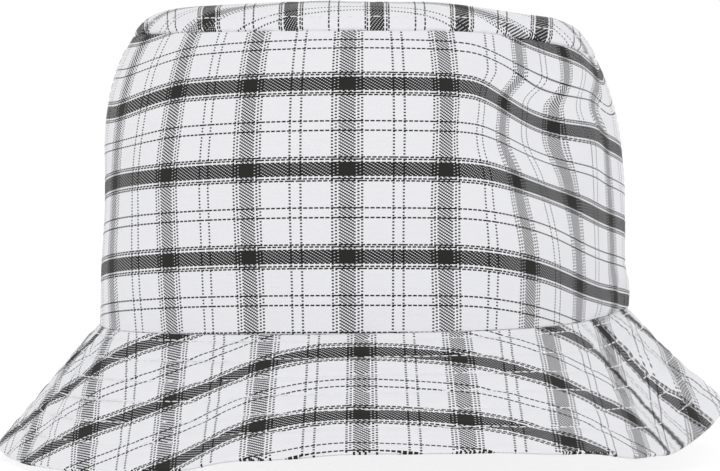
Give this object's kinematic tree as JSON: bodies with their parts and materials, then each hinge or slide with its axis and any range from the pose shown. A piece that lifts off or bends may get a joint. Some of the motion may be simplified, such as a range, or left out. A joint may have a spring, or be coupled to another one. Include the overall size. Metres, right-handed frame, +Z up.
{
  "type": "bucket hat",
  "caption": "Soft woven-cotton bucket hat with a flat-topped crown, a sloping stitched brim, a sweatband inside and a small care label that swings.",
  "frame": {"origin": "middle of the head opening, in the plane where the crown is sewn to the brim", "axes": "+Z up out of the crown, -Y to the front of the hat, +X to the wearer's left"},
  "size_m": [0.2414, 0.2718, 0.1481],
  "materials": {
    "plaid_cotton": "matte woven twill, white with black plaid bands",
    "interlining": "stiff matte non-woven",
    "sweatband_twill": "matte fine twill",
    "seam_tape": "matte woven tape",
    "white_thread": "slightly glossy spun polyester",
    "label_satin": "satin ribbon"
  },
  "bodies": {
    "hat": {"crown_tip": "plaid_cotton", "crown_front_panel": "plaid_cotton", "crown_back_panel": "plaid_cotton", "brim_top_front": "plaid_cotton", "brim_top_back": "plaid_cotton", "brim_under_front": "plaid_cotton", "brim_under_back": "plaid_cotton", "brim_interlining_front": "interlining", "brim_interlining_back": "interlining", "sweatband": "sweatband_twill", "tip_seam_tape": "seam_tape", "left_seam_tape": "seam_tape", "right_seam_tape": "seam_tape", "brim_stitch_row_1": "white_thread", "brim_stitch_row_2": "white_thread", "brim_stitch_row_3": "white_thread", "brim_stitch_row_4": "white_thread", "brim_stitch_row_5": "white_thread", "brim_stitch_row_6": "white_thread", "tip_topstitch": "white_thread", "left_side_topstitch": "white_thread", "right_side_topstitch": "white_thread", "sweatband_stitch": "white_thread", "main_label": "label_satin"},
    "care_label_flap": {"care_label": "label_satin"}
  },
  "joints": [
    {"name": "care_label_swing", "type": "hinge", "parent": "hat", "child": "care_label_flap", "pos_m": [-0.05634, 0.0703, 0.02943], "axis": [0.7061, 0.7081, 0], "range_deg": [-150, 1]}
  ]
}
